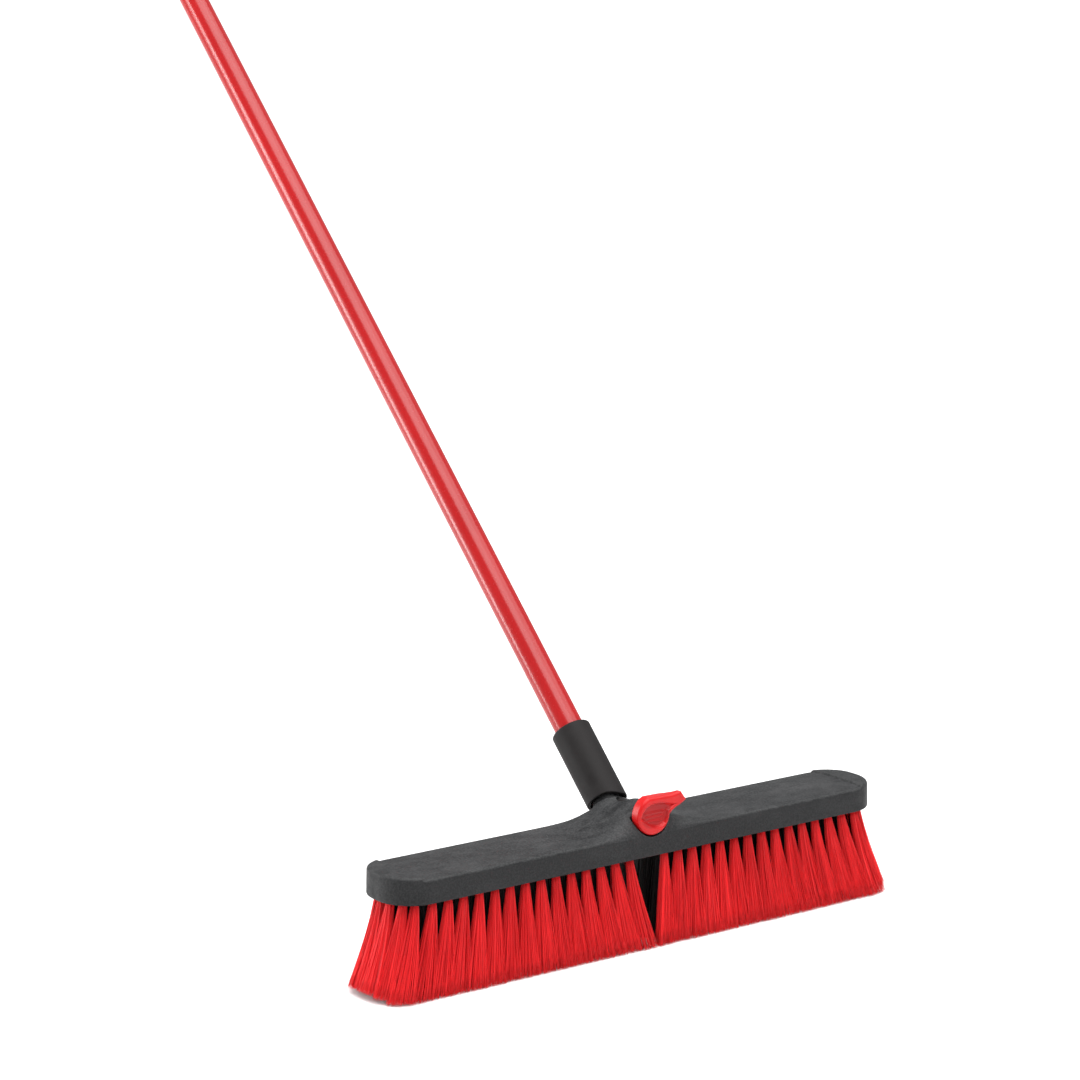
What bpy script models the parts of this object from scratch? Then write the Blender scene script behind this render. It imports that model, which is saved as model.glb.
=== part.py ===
"""Push broom with a slanted handle that is locked in the block by a lever.

Metres, +Z up. The origin is on the handle's axis, where the upper hand holds it, 1 m above the floor.
X runs along the block, and the handle leans back over +Y. Until the last step, heights are measured
from the plane of the bristle tips, and places across the block from its middle.
"""

import math

import bmesh
import bpy
from mathutils import Matrix, Vector

MM = 0.001

# ---------------------------------------------------------------- driving dimensions
TRIM = 70.5 * MM                 # free length of the bristles, so the height of the block's underside
BLOCK_LENGTH = 457.2 * MM        # 18 in
BLOCK_WIDTH = 63.5 * MM          # 2.5 in
BLOCK_HEIGHT = 18.0 * MM
BLOCK_CORNER = 28.0 * MM         # radius of the block's ends in plan
BLOCK_EDGE = 2.6 * MM            # rounding of its long edges

HANDLE_TILT = math.radians(45)   # from upright, over +Y
AXIS_FOOT_Y = -3.0 * MM          # where the handle's axis meets the block's underside
HANDLE_LENGTH = 1524.0 * MM      # 60 in, from the sleeve's lower rim to the end of the hanging cap
TUBE_RADIUS = 11.1 * MM          # 7/8 in tube
TUBE_WALL = 0.9 * MM
NECK_RADIUS = 12.5 * MM
SLEEVE_RADIUS = 15.0 * MM
SLEEVE_LENGTH = 61.0 * MM
PLUG_RADIUS = 9.0 * MM
GRIP_HEIGHT = 1000.0 * MM        # where the upper hand holds the handle, above the bristle tips

LEVER_HEIGHT = 31.2 * MM         # lever axis above the block's underside
LEVER_RADIUS = 15.2 * MM
LEVER_THICKNESS = 9.0 * MM
SHAFT_RADIUS = 4.5 * MM
LEVER_CLEARANCE = 0.9 * MM       # round the lever in its scoop
CAM_THROW = 0.7 * MM

TUFT_PITCH = 13.6 * MM
TUFT_FIRST = 15.2 * MM           # first tuft on each side of the middle
TUFT_INSET = 8.25 * MM           # outer tufts, from the block's side
TUFT_HALF = 2.5 * MM             # half the width of a tuft at its root
TUFT_DEPTH = 10.0 * MM           # how far a tuft goes into the block
ROW_SPACING = 11.75 * MM

GAP = 0.35 * MM                  # left between pieces that touch
SIDES = 24                       # facets round the handle's pieces

# ---------------------------------------------------------------- worked out from them
BLOCK_TOP = TRIM + BLOCK_HEIGHT
BLOCK_HALF = BLOCK_LENGTH / 2
HALF_WIDTH = BLOCK_WIDTH / 2
HANDLE_DIRECTION = Vector((0, math.sin(HANDLE_TILT), math.cos(HANDLE_TILT)))
HANDLE_FOOT = Vector((0, AXIS_FOOT_Y, TRIM))
GRIP = HANDLE_FOOT + HANDLE_DIRECTION * ((GRIP_HEIGHT - TRIM) / HANDLE_DIRECTION.z)
LEVER_Z = TRIM + LEVER_HEIGHT

# Distances along the handle's axis from its foot on the block's underside.
BORE_END = 18.4 * MM
SLEEVE_START = 43.0 * MM
SLEEVE_END = SLEEVE_START + SLEEVE_LENGTH
NECK_END = SLEEVE_START + 9.5 * MM
SLEEVE_WEB = (NECK_END + 1.0 * MM, NECK_END + 8.0 * MM)
TUBE_START = SLEEVE_WEB[1] + GAP
HANDLE_END = SLEEVE_START + HANDLE_LENGTH
CAP_START = HANDLE_END - 46.0 * MM
TUBE_END = CAP_START - GAP

# Places along Y of the lever's stack, front to back.
LEVER_FRONT = -HALF_WIDTH
LEVER_BACK = LEVER_FRONT + LEVER_THICKNESS
WASHER_FRONT = LEVER_BACK + GAP
WASHER_BACK = WASHER_FRONT + 0.7 * MM
SEAT_Y = WASHER_BACK + GAP
SHAFT_FRONT = LEVER_FRONT + 3.2 * MM
SHAFT_CAM = 10.1 * MM            # where the round shaft turns into the cam's cone
SHAFT_END = 13.1 * MM

MERGE = 1e-5
OVERRUN = 5.0 * MM               # how far a cutter runs past the face that it opens


# ---------------------------------------------------------------- scene helpers
def clear_scene():
    for obj in list(bpy.data.objects):
        bpy.data.objects.remove(obj, do_unlink=True)


def new_collection(name):
    collection = bpy.data.collections.new(name)
    bpy.context.scene.collection.children.link(collection)
    return collection


def new_material(name, color, roughness, metallic=0.0):
    material = bpy.data.materials.new(name)
    material.use_nodes = True
    shader = material.node_tree.nodes["Principled BSDF"]
    shader.inputs["Base Color"].default_value = (*color, 1.0)
    shader.inputs["Roughness"].default_value = roughness
    shader.inputs["Metallic"].default_value = metallic
    material.diffuse_color = (*color, 1.0)
    return material


def new_object(name, mesh, collection, material=None, place=None):
    obj = bpy.data.objects.new(name, mesh)
    collection.objects.link(obj)
    if material is not None:
        mesh.materials.append(material)
    if place is not None:
        obj.matrix_world = place
    return obj


def as_helper(obj):
    obj.hide_render = True
    obj.display_type = "WIRE"
    return obj


def boolean(obj, other, operation):
    modifier = obj.modifiers.new(f"{operation.lower()} {other.name}", "BOOLEAN")
    modifier.operation = operation
    modifier.solver = "EXACT"
    modifier.object = other


def along(start, direction):
    """A placing whose local Z runs along direction and whose local X stays as level as it can."""
    z_axis = direction.normalized()
    x_axis = Vector((1, 0, 0)) if abs(z_axis.x) < 0.9 else Vector((0, 1, 0))
    y_axis = z_axis.cross(x_axis).normalized()
    x_axis = y_axis.cross(z_axis).normalized()
    rotation = Matrix((x_axis, y_axis, z_axis)).transposed().to_4x4()
    return Matrix.Translation(start) @ rotation


def on_handle(distance=0.0):
    """A placing on the handle's axis, local Z up the handle."""
    return along(HANDLE_FOOT + HANDLE_DIRECTION * distance, HANDLE_DIRECTION)


def shade_round(mesh, angle=35):
    mesh.shade_smooth()
    mesh.set_sharp_from_angle(angle=math.radians(angle))


# ---------------------------------------------------------------- shape helpers
def cylinder_mesh(name, radius, length, sides=SIDES, top_radius=None):
    """A cylinder or cone that stands on its local XY plane."""
    mesh = bpy.data.meshes.new(name)
    bm = bmesh.new()
    bmesh.ops.create_cone(
        bm,
        cap_ends=True,
        segments=sides,
        radius1=radius,
        radius2=radius if top_radius is None else top_radius,
        depth=length,
        matrix=Matrix.Translation((0, 0, length / 2)),
    )
    bm.to_mesh(mesh)
    bm.free()
    return mesh


def box_mesh(name, low, high):
    mesh = bpy.data.meshes.new(name)
    size = Vector(high) - Vector(low)
    middle = (Vector(high) + Vector(low)) / 2
    bm = bmesh.new()
    bmesh.ops.create_cube(bm, size=1.0, matrix=Matrix.Translation(middle) @ Matrix.Diagonal((*size, 1)))
    bm.to_mesh(mesh)
    bm.free()
    return mesh


def turned(name, profile, collection, material, place, ring=False, sides=SIDES):
    """A profile of (radius, height) points, outer side top to bottom, turned about local Z."""
    mesh = bpy.data.meshes.new(name)
    edges = [(i, i + 1) for i in range(len(profile) - 1)]
    if ring:
        edges.append((len(profile) - 1, 0))
    mesh.from_pydata([(radius, 0, height) for radius, height in profile], edges, [])
    obj = new_object(name, mesh, collection, material, place)
    screw = obj.modifiers.new("turn", "SCREW")
    screw.axis = "Z"
    screw.angle = math.tau
    screw.steps = sides
    screw.render_steps = sides
    screw.use_merge_vertices = True
    screw.merge_threshold = MERGE
    screw.use_smooth_shade = False
    return obj


def extruded_outline(name, points, half_thickness):
    """A flat outline in local XY, thickened to both sides along local Z."""
    curve = bpy.data.curves.new(name, "CURVE")
    curve.dimensions = "2D"
    curve.fill_mode = "BOTH"
    curve.extrude = half_thickness
    spline = curve.splines.new("POLY")
    spline.points.add(len(points) - 1)
    for point, (x, y) in zip(spline.points, points):
        point.co = (x, y, 0, 1)
    spline.use_cyclic_u = True
    guide = bpy.data.objects.new(name, curve)
    bpy.context.scene.collection.objects.link(guide)
    bpy.context.view_layer.update()
    mesh = bpy.data.meshes.new_from_object(guide.evaluated_get(bpy.context.evaluated_depsgraph_get()))
    mesh.name = name
    bpy.data.objects.remove(guide, do_unlink=True)
    bm = bmesh.new()
    bm.from_mesh(mesh)
    bmesh.ops.remove_doubles(bm, verts=bm.verts, dist=MERGE)
    bmesh.ops.recalc_face_normals(bm, faces=bm.faces)
    bm.to_mesh(mesh)
    bm.free()
    return mesh


def arc(center, radius, start_degrees, end_degrees, steps):
    points = []
    for i in range(steps + 1):
        angle = math.radians(start_degrees + (end_degrees - start_degrees) * i / steps)
        points.append((center[0] + radius * math.cos(angle), center[1] + radius * math.sin(angle)))
    return points


# ---------------------------------------------------------------- where the tufts stand
def inset_y(x):
    """Half width of the line that the outer tufts follow, at a distance x along the block."""
    corner_x = BLOCK_HALF - BLOCK_CORNER
    radius = BLOCK_CORNER - TUFT_INSET
    straight = HALF_WIDTH - TUFT_INSET
    if x <= corner_x:
        return straight
    return straight - radius + math.sqrt(radius**2 - (x - corner_x) ** 2)


def inset_x(y):
    """How far along the block that line is, at a distance y across it."""
    corner_y = HALF_WIDTH - BLOCK_CORNER
    radius = BLOCK_CORNER - TUFT_INSET
    reach = BLOCK_HALF - BLOCK_CORNER
    if abs(y) <= corner_y:
        return reach + radius
    return reach + math.sqrt(radius**2 - (abs(y) - corner_y) ** 2)


def tuft_line(first, count):
    return [first + i * TUFT_PITCH for i in range(count)]


OUTER_TUFTS = tuft_line(TUFT_FIRST, 15)
MIDDLE_TUFTS = tuft_line(TUFT_FIRST, 14)
STAGGERED_TUFTS = tuft_line(TUFT_FIRST + TUFT_PITCH / 2, 14)
END_TUFTS = [-16.9 * MM, -6.0 * MM, 6.0 * MM, 16.9 * MM]   # across the block's end


def tuft_roots():
    """Every tuft's centre on the block's underside."""
    roots = []
    for side in (-1, 1):
        for x in OUTER_TUFTS:
            roots += [(side * x, -inset_y(x)), (side * x, inset_y(x))]
        for x in MIDDLE_TUFTS:
            roots.append((side * x, 0.0))
        for x in STAGGERED_TUFTS:
            roots += [(side * x, -ROW_SPACING), (side * x, ROW_SPACING)]
        for y in END_TUFTS:
            roots.append((side * inset_x(y), y))
    return roots


# ---------------------------------------------------------------- block
HUMP_RISE = 20.0 * MM
HUMP_HALF_LENGTH = 68.0 * MM
HUMP_HALF_WIDTH = 28.0 * MM
HUMP_SHOULDER = 17.0 * MM        # the ridge is level across the block out to here
HUMP_CROWN = 8.0 * MM            # softness of the ridge's crest


def hump_height(x, y):
    """Rise of the swelling in the middle of the block over its flat top."""
    out = math.hypot(x, HUMP_CROWN) - HUMP_CROWN
    full = math.hypot(HUMP_HALF_LENGTH, HUMP_CROWN) - HUMP_CROWN
    along_block = max(0.0, 1 - out / full) ** 2.5
    over = max(0.0, abs(y) - HUMP_SHOULDER) / (HUMP_HALF_WIDTH - HUMP_SHOULDER)
    return HUMP_RISE * along_block * max(0.0, 1 - over**2)


def slab_mesh():
    corner = (BLOCK_HALF - BLOCK_CORNER, HALF_WIDTH - BLOCK_CORNER)
    outline = []
    for sx, sy, start in ((1, -1, 270), (1, 1, 0), (-1, 1, 90), (-1, -1, 180)):
        outline += arc((sx * corner[0], sy * corner[1]), BLOCK_CORNER, start, start + 90, 7)
    return extruded_outline("block_slab", outline, BLOCK_HEIGHT / 2)


def hump_mesh():
    """A level grid raised by hump_height, with a flat base inside the slab."""
    mesh = bpy.data.meshes.new("block_hump")
    bm = bmesh.new()
    bmesh.ops.create_grid(bm, x_segments=24, y_segments=12, size=1.0)
    for vert in bm.verts:
        # stations lie closer together near the crest
        x = math.copysign(abs(vert.co.x) ** 1.4, vert.co.x) * HUMP_HALF_LENGTH
        y = vert.co.y * HUMP_HALF_WIDTH
        vert.co = (x, y, BLOCK_TOP - 0.25 * MM + hump_height(x, y))
    skin = bm.faces[:]
    base = bmesh.ops.extrude_face_region(bm, geom=skin)
    for vert in (item for item in base["geom"] if isinstance(item, bmesh.types.BMVert)):
        vert.co.z = TRIM + BLOCK_HEIGHT * 0.4
    flat = [item for item in base["geom"] if isinstance(item, bmesh.types.BMFace)]
    bmesh.ops.dissolve_faces(bm, faces=flat)
    bmesh.ops.recalc_face_normals(bm, faces=bm.faces)
    bm.to_mesh(mesh)
    bm.free()
    return mesh


def tuft_hole_mesh():
    """All the tuft holes as one cutter of six-sided prisms."""
    mesh = bpy.data.meshes.new("tuft_holes")
    bm = bmesh.new()
    depth = TUFT_DEPTH + 2 * GAP
    overrun = 2 * MM
    for x, y in tuft_roots():
        bmesh.ops.create_cone(
            bm,
            cap_ends=True,
            segments=6,
            radius1=TUFT_HALF * 1.68,
            radius2=TUFT_HALF * 1.68,
            depth=depth + overrun,
            matrix=Matrix.Translation((x, y, TRIM + (depth - overrun) / 2)),
        )
    bm.to_mesh(mesh)
    bm.free()
    return mesh


PIN_RADIUS = 1.5 * MM
GROOVE_RADIUS = 3.3 * MM
PIN_X = GROOVE_RADIUS + GAP + PIN_RADIUS
PIN_TOP = TRIM + 33.5 * MM


def make_block(parts, cutters, material):
    block = new_object("brush_block", slab_mesh(), parts, material)
    block.location.z = TRIM + BLOCK_HEIGHT / 2
    edge = block.modifiers.new("round the edges", "BEVEL")
    edge.width = BLOCK_EDGE
    edge.segments = 2
    edge.limit_method = "ANGLE"
    edge.angle_limit = math.radians(60)

    hump = as_helper(new_object("hump", hump_mesh(), cutters))
    boolean(block, hump, "UNION")

    neck_start = BORE_END - 2.9 * MM
    neck = cylinder_mesh("neck", NECK_RADIUS, NECK_END - neck_start)
    boolean(block, as_helper(new_object("neck", neck, cutters, place=on_handle(neck_start))), "UNION")

    bore = cylinder_mesh("plug_bore", PLUG_RADIUS + GAP, NECK_END - BORE_END + OVERRUN)
    boolean(block, as_helper(new_object("plug_bore", bore, cutters, place=on_handle(BORE_END))), "DIFFERENCE")

    front = Vector((0, LEVER_FRONT - 2 * OVERRUN, LEVER_Z))
    scoop = cylinder_mesh("lever_scoop", LEVER_RADIUS + LEVER_CLEARANCE, SEAT_Y - front.y, sides=40)
    scoop_at = along(front, Vector((0, 1, 0)))
    boolean(block, as_helper(new_object("lever_scoop", scoop, cutters, place=scoop_at)), "DIFFERENCE")

    shaft_bore = cylinder_mesh("shaft_bore", SHAFT_RADIUS + GAP, SHAFT_END + 0.9 * MM - front.y)
    boolean(block, as_helper(new_object("shaft_bore", shaft_bore, cutters, place=scoop_at)), "DIFFERENCE")

    pin_hole = cylinder_mesh("pin_hole", PIN_RADIUS + GAP, PIN_TOP + 2 * GAP - TRIM + OVERRUN, sides=12)
    pin_at = Matrix.Translation((PIN_X, 0, TRIM - OVERRUN))
    boolean(block, as_helper(new_object("pin_hole", pin_hole, cutters, place=pin_at)), "DIFFERENCE")

    holes = as_helper(new_object("tuft_holes", tuft_hole_mesh(), cutters))
    boolean(block, holes, "DIFFERENCE")
    return block


# ---------------------------------------------------------------- bristles
TIP_SPLIT = 1.5 * MM             # the two halves' tips meet here, just right of the middle
TIP_REACH = 246.0 * MM           # how far along the block the outermost tips spread
TIP_LIFT = 6.5 * MM              # how much higher those tips end, because they lean the most
LIFT_START = 207.0 * MM          # bristles rooted further out than this end higher
TIP_SPREAD = 1.28                # how much the tips spread across the block
NOTCH_HEIGHT = 0.46 * TRIM       # tufts of one row merge below here
ROOT_HEIGHT = TRIM - 1 * MM      # tufts are parallel-sided above here
# Each row's fringe: half its thickness at the tips, and how far it goes past its first and last tufts' centres.
OUTER_SHAPE = (3.6 * MM, (4.4 * MM, 2.9 * MM))
INNER_SHAPE = (5.0 * MM, (4.4 * MM, 4.4 * MM))
END_SHAPE = (3.0 * MM, (2.6 * MM, 2.6 * MM))


def splay(z):
    """0 at the block, 1 at the tips, with the bristles curving outwards."""
    return (max(0.0, 1 - z / TRIM)) ** 1.25


def splayed(x, y, z):
    """Where a bristle that leaves the block at (x, y) is by the height z."""
    root_inner = TUFT_FIRST - 1.6 * TUFT_HALF
    root_outer = BLOCK_HALF - TUFT_INSET + 1.2 * TUFT_HALF
    share = (abs(x) - root_inner) / (root_outer - root_inner)
    tip = math.copysign(GAP + share * (TIP_REACH - GAP), x) + TIP_SPLIT
    amount = splay(z)
    lift = TIP_LIFT * max(0.0, (abs(x) - LIFT_START) / (root_outer - LIFT_START)) * amount
    return (x + (tip - x) * amount, y * (1 + (TIP_SPREAD - 1) * amount), z + lift)


def comb_sheet(centers, flares):
    """A row of tufts as a flat sheet of quads in local XY, (along the row, height).

    Each tuft is a tooth that widens down to the notches, and below those the row is one fringe.
    """
    between = [(a + b) / 2 for a, b in zip(centers, centers[1:])]
    bounds = [centers[0] - flares[0], *between, centers[-1] + flares[1]]
    bm = bmesh.new()
    tips = [bm.verts.new((s, 0, 0)) for s in bounds]
    notches = [bm.verts.new((s, NOTCH_HEIGHT, 0)) for s in bounds]
    for i, center in enumerate(centers):
        levels = [(tips[i], tips[i + 1]), (notches[i], notches[i + 1])]
        for height in (ROOT_HEIGHT, TRIM + TUFT_DEPTH):
            levels.append([bm.verts.new((center + side * TUFT_HALF, height, 0)) for side in (-1, 1)])
        for (left, right), (left_above, right_above) in zip(levels, levels[1:]):
            bm.faces.new((left, right, right_above, left_above))
    return bm


def bristle_bank(name, centers, place_tuft, shape, collection, material):
    """One row of tufts as a comb. place_tuft maps (along, line, across) to (x, y) on the block's underside."""
    tip_half, flares = shape
    bm = comb_sheet(centers, flares)
    thick = bmesh.ops.extrude_face_region(bm, geom=bm.faces[:])
    far = {item for item in thick["geom"] if isinstance(item, bmesh.types.BMVert)}
    for vert in bm.verts:
        s, z = vert.co.x, vert.co.y
        tooth = z > NOTCH_HEIGHT
        line = min(centers, key=lambda center: abs(center - s)) if tooth else s
        half = TUFT_HALF + (tip_half - TUFT_HALF) * splay(z)
        x, y = place_tuft(s, line, half if vert in far else -half)
        vert.co = splayed(x, y, z)
    bmesh.ops.recalc_face_normals(bm, faces=bm.faces)
    if bm.calc_volume(signed=True) < 0:
        bmesh.ops.reverse_faces(bm, faces=bm.faces)
    mesh = bpy.data.meshes.new(name)
    bm.to_mesh(mesh)
    bm.free()
    return new_object(name, mesh, collection, material)


def outer_row(side_x, side_y):
    def place(s, line, across):
        return (side_x * s, side_y * (inset_y(line) + across))
    return place


def inner_row(side_x, y):
    def place(s, line, across):
        return (side_x * s, y + across)
    return place


def end_row(side_x):
    def place(s, line, across):
        return (side_x * (inset_x(line) + across), s)
    return place


def make_bristles(parts, red, black):
    for side_x, half in ((-1, "left"), (1, "right")):
        for side_y, depth in ((-1, "front"), (1, "rear")):
            name = f"outer_bristles_{depth}_{half}"
            bristle_bank(name, OUTER_TUFTS, outer_row(side_x, side_y), OUTER_SHAPE, parts, red)
        end_name = f"outer_bristles_end_{half}"
        bristle_bank(end_name, END_TUFTS, end_row(side_x), END_SHAPE, parts, red)
        rows = ((-ROW_SPACING, "front", STAGGERED_TUFTS), (0, "middle", MIDDLE_TUFTS),
                (ROW_SPACING, "rear", STAGGERED_TUFTS))
        for y, depth, centers in rows:
            name = f"inner_bristles_{depth}_{half}"
            bristle_bank(name, centers, inner_row(side_x, y), INNER_SHAPE, parts, black)


# ---------------------------------------------------------------- lock lever
def lever_outline():
    """Seen from the front, about the lever's axis: a disc, flat on top, that runs out into a thumb tab."""
    flat = 14.2 * MM
    start = math.degrees(math.asin(flat / LEVER_RADIUS))
    points = arc((0, 0), LEVER_RADIUS, 180 - start, 354, 22)
    points += [(17.6 * MM, 0.9 * MM), (20.9 * MM, 2.7 * MM), (25.8 * MM, 4.6 * MM), (30.3 * MM, 7.0 * MM)]
    points += [(30.6 * MM, 8.2 * MM), (26.0 * MM, 14.4 * MM), (24.2 * MM, 14.9 * MM)]
    points += [(19.5 * MM, 14.2 * MM), (13.0 * MM, 13.9 * MM)]
    return points


def make_lever(parts, cutters, materials):
    # Local X stays along the block, local Y points down and local Z back, so heights are turned over.
    axis_at = along(Vector((0, LEVER_FRONT, LEVER_Z)), Vector((0, 1, 0)))
    points = [(x, -z) for x, z in reversed(lever_outline())]
    mesh = extruded_outline("lock_lever", points, LEVER_THICKNESS / 2)
    mesh.transform(Matrix.Translation((0, 0, LEVER_THICKNESS / 2)))
    lever = new_object("lock_lever", mesh, parts, materials["lever_red"], axis_at)
    edge = lever.modifiers.new("round the edges", "BEVEL")
    edge.width = 0.9 * MM
    edge.segments = 1
    edge.limit_method = "ANGLE"
    edge.angle_limit = math.radians(60)

    socket_depth = LEVER_BACK - SHAFT_FRONT + GAP
    socket = cylinder_mesh("lever_socket", SHAFT_RADIUS + 2 * GAP, socket_depth + 2 * MM, sides=6)
    socket_at = along(Vector((0, SHAFT_FRONT - GAP, LEVER_Z)), Vector((0, 1, 0)))
    boolean(lever, as_helper(new_object("lever_socket", socket, cutters, place=socket_at)), "DIFFERENCE")

    # A dished face with a rim left round it.
    dish = cylinder_mesh("lever_dish", LEVER_RADIUS - 3.6 * MM, 3 * MM, sides=32)
    dish_at = along(Vector((0, LEVER_FRONT - 1.6 * MM, LEVER_Z)), Vector((0, 1, 0)))
    boolean(lever, as_helper(new_object("lever_dish", dish, cutters, place=dish_at)), "DIFFERENCE")

    make_shaft(parts, cutters, materials["shaft_black"])

    washer_profile = [
        (9.0 * MM, WASHER_BACK - WASHER_FRONT),
        (9.0 * MM, 0),
        (SHAFT_RADIUS + GAP, 0),
        (SHAFT_RADIUS + GAP, WASHER_BACK - WASHER_FRONT),
    ]
    washer_at = along(Vector((0, WASHER_FRONT, LEVER_Z)), Vector((0, 1, 0)))
    turned("lever_washer", washer_profile, parts, materials["steel"], washer_at, ring=True)

    pin = cylinder_mesh("shaft_retaining_pin", PIN_RADIUS, PIN_TOP - TRIM - 0.5 * MM, sides=12)
    shade_round(pin)
    new_object("shaft_retaining_pin", pin, parts, materials["steel"],
               Matrix.Translation((PIN_X, 0, TRIM + 0.5 * MM)))


def make_shaft(parts, cutters, material):
    """Six-sided in the lever, then round with a groove for the pin, then an off-centre cone as the cam."""
    groove_half = PIN_RADIUS + GAP
    hex_end = LEVER_BACK - 0.1 * MM
    profile = [
        (0, SHAFT_CAM),
        (SHAFT_RADIUS, SHAFT_CAM),
        (SHAFT_RADIUS, groove_half),
        (GROOVE_RADIUS, groove_half),
        (GROOVE_RADIUS, -groove_half),
        (SHAFT_RADIUS, -groove_half),
        (SHAFT_RADIUS, hex_end),
        (0, hex_end),
    ]
    shaft_at = along(Vector((0, 0, LEVER_Z)), Vector((0, 1, 0)))
    shaft = turned("lever_shaft", profile, parts, material, shaft_at)

    hexagon = cylinder_mesh("shaft_hexagon", SHAFT_RADIUS, hex_end - SHAFT_FRONT + 0.5 * MM, sides=6)
    hexagon_at = along(Vector((0, SHAFT_FRONT, LEVER_Z)), Vector((0, 1, 0)))
    boolean(shaft, as_helper(new_object("shaft_hexagon", hexagon, cutters, place=hexagon_at)), "UNION")

    # The cone has a slope of one in one, and starts a little inside the shaft so that the two join.
    sunk = 0.2 * MM
    cone_length = SHAFT_END - SHAFT_CAM + sunk
    cone_radius = SHAFT_RADIUS - CAM_THROW + 0.1 * MM
    cone = cylinder_mesh("cam_cone", cone_radius, cone_length, sides=20, top_radius=cone_radius - cone_length)
    cone_at = along(Vector((0, SHAFT_CAM - sunk, LEVER_Z - CAM_THROW)), Vector((0, 1, 0)))
    boolean(shaft, as_helper(new_object("cam_cone", cone, cutters, place=cone_at)), "UNION")


# ---------------------------------------------------------------- handle
def make_handle(parts, cutters, materials):
    inner = TUBE_RADIUS - TUBE_WALL
    tube_profile = [(TUBE_RADIUS, TUBE_END), (TUBE_RADIUS, TUBE_START), (inner, TUBE_START), (inner, TUBE_END)]
    tube = turned("handle_tube", tube_profile, parts, materials["tube_red"], on_handle(), ring=True)

    make_sleeve(parts, cutters, materials["connector_black"])

    plug_profile = [
        (0, SLEEVE_END - 6 * MM),
        (inner - 2 * GAP, SLEEVE_END - 6 * MM),
        (inner - GAP, SLEEVE_END - 8 * MM),
        (inner - GAP, TUBE_START),
        (PLUG_RADIUS, TUBE_START),
        (PLUG_RADIUS, BORE_END + GAP + 1.5 * MM),
        (PLUG_RADIUS - 1.5 * MM, BORE_END + GAP),
        (0, BORE_END + GAP),
    ]
    plug = turned("connector_plug", plug_profile, parts, materials["connector_black"], on_handle())

    # The pin ties the tube to the plug; the sleeve covers both its ends.
    pin_place = (SLEEVE_END + TUBE_START) / 2
    pin_radius = 2.0 * MM
    pin_half = TUBE_RADIUS - 0.25 * MM
    center = HANDLE_FOOT + HANDLE_DIRECTION * pin_place
    hole_half = TUBE_RADIUS + 3 * MM
    hole = cylinder_mesh("connector_pin_hole", pin_radius + GAP, 2 * hole_half, sides=12)
    hole_at = along(center - Vector((hole_half, 0, 0)), Vector((1, 0, 0)))
    cutter = as_helper(new_object("connector_pin_hole", hole, cutters, place=hole_at))
    boolean(tube, cutter, "DIFFERENCE")
    boolean(plug, cutter, "DIFFERENCE")
    pin = cylinder_mesh("connector_pin", pin_radius, 2 * pin_half, sides=12)
    shade_round(pin)
    new_object("connector_pin", pin, parts, materials["steel"],
               along(center - Vector((pin_half, 0, 0)), Vector((1, 0, 0))))

    make_cap(parts, cutters, materials["cap_black"])


def make_sleeve(parts, cutters, material):
    """Wide below to swallow the block's neck, a web that the plug passes through, then the tube's seat."""
    socket = NECK_RADIUS + 0.4 * MM
    seat = TUBE_RADIUS + GAP
    chamfer = 1.6 * MM
    profile = [
        (SLEEVE_RADIUS - chamfer, SLEEVE_END),
        (SLEEVE_RADIUS, SLEEVE_END - chamfer),
        (SLEEVE_RADIUS, SLEEVE_START),
        (socket, SLEEVE_START),
        (socket, SLEEVE_WEB[0]),
        (PLUG_RADIUS + GAP, SLEEVE_WEB[0]),
        (PLUG_RADIUS + GAP, SLEEVE_WEB[1]),
        (seat, SLEEVE_WEB[1]),
        (seat, SLEEVE_END),
    ]
    sleeve = turned("connector_sleeve", profile, parts, material, on_handle(), ring=True)

    # V notch in the lower rim, on the side that faces up and forwards.
    notch_half = 2.6 * MM
    notch = extruded_outline("sleeve_notch", [(-notch_half, -1 * MM), (notch_half, -1 * MM), (0, 4.5 * MM)], 5 * MM)
    up_front = HANDLE_DIRECTION.cross(Vector((1, 0, 0))) * -1
    rotation = Matrix((Vector((1, 0, 0)), HANDLE_DIRECTION, Vector((1, 0, 0)).cross(HANDLE_DIRECTION)))
    place = Matrix.Translation(
        HANDLE_FOOT + HANDLE_DIRECTION * SLEEVE_START + up_front * SLEEVE_RADIUS
    ) @ rotation.transposed().to_4x4()
    cutter = as_helper(new_object("sleeve_notch", notch, cutters, place=place))
    boolean(sleeve, cutter, "DIFFERENCE")


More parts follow.
